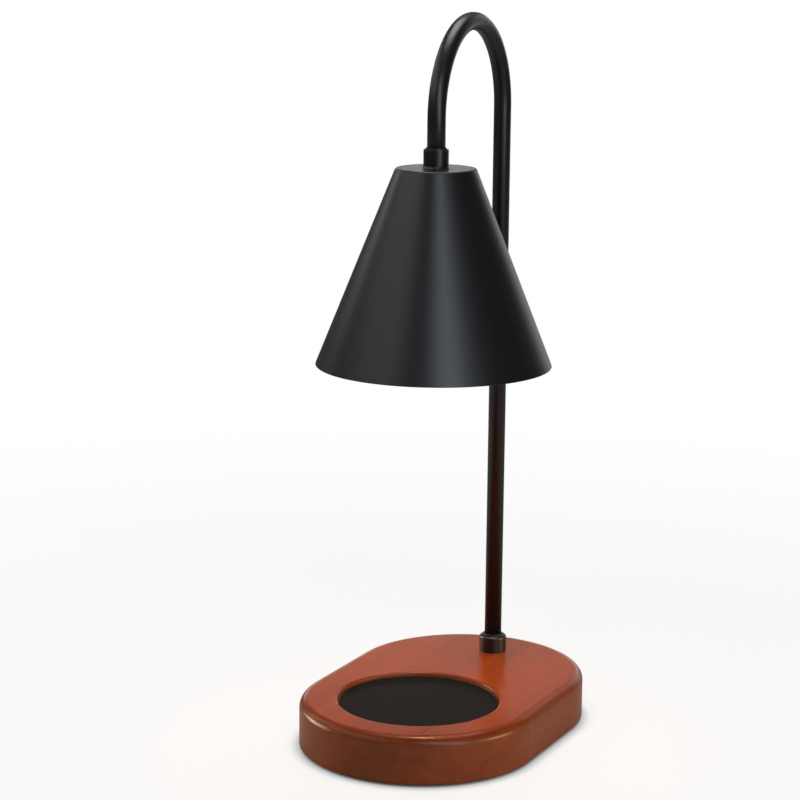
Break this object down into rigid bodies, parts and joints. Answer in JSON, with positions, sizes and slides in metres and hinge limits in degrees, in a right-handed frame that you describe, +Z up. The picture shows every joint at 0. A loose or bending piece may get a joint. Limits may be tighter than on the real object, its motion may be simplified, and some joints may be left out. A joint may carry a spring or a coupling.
{
  "type": "candle warmer lamp",
  "caption": "Candle warmer lamp: wood base with a candle seat, swivelling gooseneck arm and a cone shade over the seat that holds a twist-lock reflector bulb.",
  "frame": {"origin": "middle of the underside that the lamp stands on", "axes": "+Z up; the base is long in Y, with the pole at its +Y end and the candle seat towards -Y"},
  "size_m": [0.1402, 0.2004, 0.4109],
  "materials": {
    "stained_wood": "satin varnish over red-brown stain",
    "black_powder": "fine matte powder coat",
    "black_silicone": "matte silicone",
    "foam_pad": "closed-cell foam",
    "zinc_steel": "bright zinc plate",
    "black_steel": "black oxide",
    "brass": "turned",
    "white_nylon": "moulded nylon",
    "black_nylon": "moulded nylon",
    "lead_sleeve": "woven glass sleeve",
    "ceramic": "unglazed steatite",
    "nickel": "nickel plate",
    "reflector_glass": "pressed glass with a mirror coat inside",
    "clear_glass": "clear, fire polished"
  },
  "bodies": {
    "base": {"wood_base": "stained_wood", "seat_mat": "black_silicone", "base_pad": "foam_pad", "cover_plate": "zinc_steel", "cover_screws": "zinc_steel", "swivel_bush": "brass", "bush_nut": "brass", "stop_plate": "zinc_steel", "stop_pin": "zinc_steel", "cord_bush": "black_nylon", "terminal_block": "white_nylon", "terminal_screws": "brass", "block_screw": "zinc_steel", "base_leads": "lead_sleeve"},
    "arm": {"arm_tube": "black_powder", "base_collar": "black_powder", "collar_screw": "black_steel", "thrust_washer": "white_nylon", "spring_washer": "zinc_steel", "stop_washer": "zinc_steel", "lock_nut": "zinc_steel", "tube_grommets": "white_nylon", "lamp_wires": "lead_sleeve", "shade_collar": "black_powder", "shade": "black_powder", "shade_washer": "zinc_steel", "holder_bracket": "zinc_steel", "bracket_nut": "zinc_steel", "lampholder": "ceramic", "holder_contacts": "brass", "holder_screws": "zinc_steel"},
    "bulb": {"bulb_cap": "ceramic", "bulb_pins": "nickel", "bulb_reflector": "reflector_glass", "bulb_front_glass": "clear_glass", "bulb_capsule": "clear_glass"}
  },
  "joints": [
    {"name": "arm_swivel", "type": "hinge", "parent": "base", "child": "arm", "pos_m": [0, 0.068, 0.0282], "axis": [0, 0, 1], "range_deg": [-93.8, 86.2]},
    {"name": "bulb_twist", "type": "hinge", "parent": "arm", "child": "bulb", "pos_m": [0.00669, -0.03278, 0.299], "axis": [0, 0, -1], "range_deg": [0, 40]}
  ]
}
